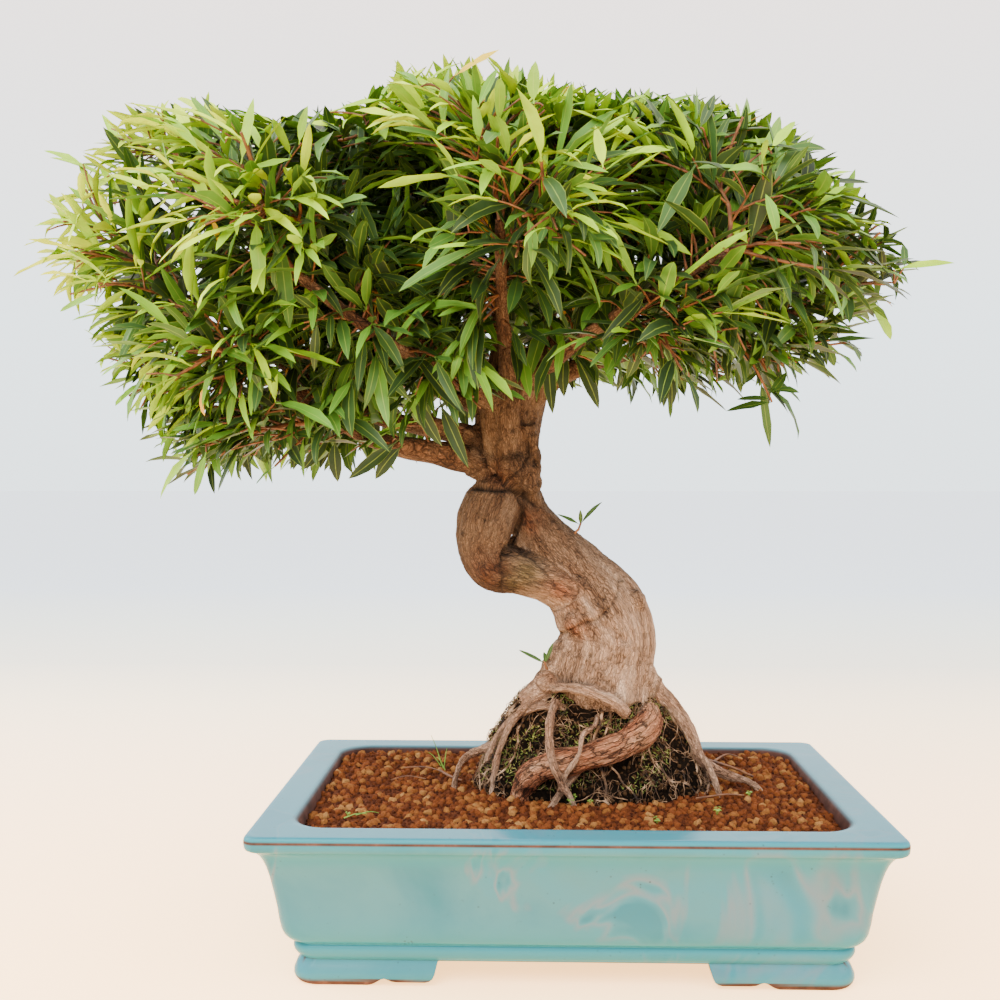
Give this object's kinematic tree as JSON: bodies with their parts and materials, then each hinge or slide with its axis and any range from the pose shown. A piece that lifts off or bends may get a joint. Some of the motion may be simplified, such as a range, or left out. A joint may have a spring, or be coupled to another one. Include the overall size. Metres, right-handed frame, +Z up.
{
  "type": "willow leaf fig bonsai",
  "caption": "Willow leaf fig grown as a bonsai, with a wide leafy crown on a twisted trunk, exposed roots and granular soil in a shallow glazed rectangular pot on feet.",
  "frame": {"origin": "on the surface that the pot stands on, under the middle of the whole bonsai's bounding box; the pot's own middle lies 65 mm from it towards +X", "axes": "+Z up; +X to the viewer's right along the pot's length; the front faces -Y"},
  "size_m": [0.6454, 0.4518, 0.6153],
  "materials": {
    "glaze": "gloss",
    "screen": "matte",
    "soil": "matte",
    "old_soil": "matte",
    "bark": "matte",
    "leaf": "satin"
  },
  "bodies": {
    "root": {"pot": "glaze", "drain_screen_1": "screen", "drain_screen_2": "screen", "soil": "soil", "root_ball": "old_soil", "tree": "bark", "trunk_shoot_upper": "leaf", "trunk_shoot_lower": "leaf", "spray_01": "leaf", "spray_02": "leaf", "spray_03": "leaf", "spray_04": "leaf", "spray_05": "leaf", "spray_06": "leaf", "spray_07": "leaf", "spray_08": "leaf", "spray_09": "leaf", "spray_10": "leaf", "spray_11": "leaf", "spray_12": "leaf", "spray_13": "leaf", "spray_14": "leaf", "spray_15": "leaf", "spray_16": "leaf", "spray_17": "leaf", "spray_18": "leaf", "spray_19": "leaf", "spray_20": "leaf", "spray_21": "leaf", "spray_22": "leaf", "spray_23": "leaf", "spray_24": "leaf", "spray_25": "leaf", "spray_26": "leaf", "spray_27": "leaf", "spray_28": "leaf", "spray_29": "leaf", "spray_30": "leaf", "spray_31": "leaf", "spray_32": "leaf", "spray_33": "leaf", "spray_34": "leaf", "spray_35": "leaf", "spray_36": "leaf", "spray_37": "leaf", "spray_38": "leaf", "spray_39": "leaf", "spray_40": "leaf", "spray_41": "leaf", "spray_42": "leaf"}
  },
  "joints": []
}
